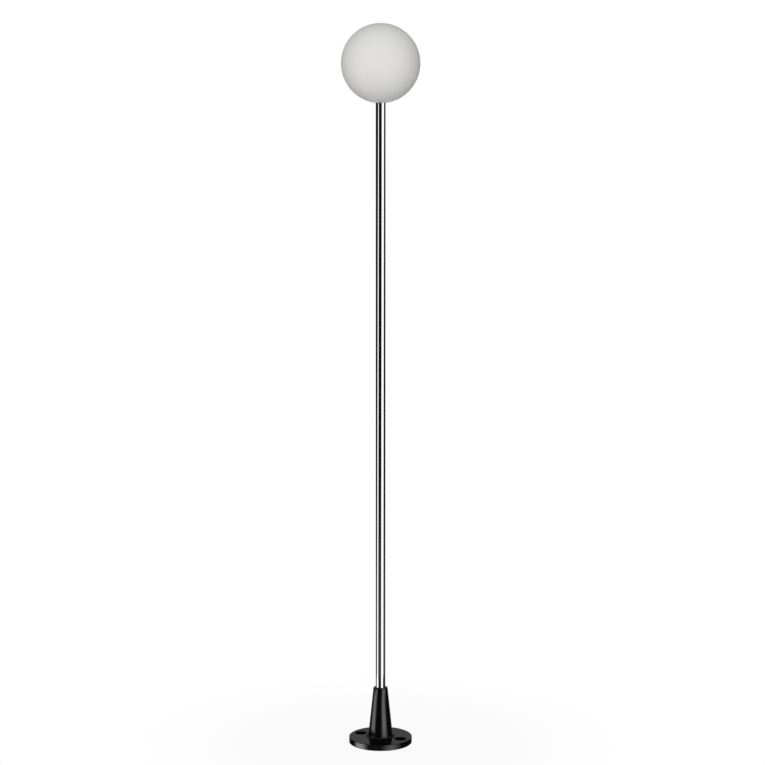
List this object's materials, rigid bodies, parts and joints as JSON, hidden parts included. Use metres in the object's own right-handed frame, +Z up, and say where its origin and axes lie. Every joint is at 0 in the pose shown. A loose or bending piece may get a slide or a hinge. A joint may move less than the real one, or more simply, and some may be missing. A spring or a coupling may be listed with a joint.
{
  "type": "garden lamp post",
  "caption": "Slim garden lamp post: an opal glass globe on a thin polished tube, held in a black cast socket base with a round flange that is bolted to the ground through recessed holes.",
  "frame": {"origin": "centre of the flange's underside, on the ground", "axes": "+Z up along the pole; X through the two bolt holes; the grub screws face +Y"},
  "size_m": [0.2, 0.2, 1.865],
  "materials": {
    "black_paint": "satin",
    "black_screw": "satin",
    "black_rubber": "matte",
    "polished_tube": "polished",
    "turned_steel": "satin",
    "nipple_brass": "satin",
    "ring_aluminium": "satin",
    "white_rubber": "matte",
    "opal_glass": "satin",
    "white_ceramic": "matte",
    "lamp_glass": "satin"
  },
  "bodies": {
    "root": {"base_casting": "black_paint", "lower_grub_screw": "black_screw", "upper_grub_screw": "black_screw", "cable_grommet": "black_rubber", "pole_tube": "polished_tube", "top_bush": "turned_steel", "hollow_nipple": "nipple_brass", "screw_cup": "turned_steel", "ring_gasket": "white_rubber", "globe_ring": "ring_aluminium", "globe": "opal_glass", "lamp_holder": "white_ceramic", "lamp_cap": "white_ceramic", "lamp_envelope": "lamp_glass"}
  },
  "joints": []
}
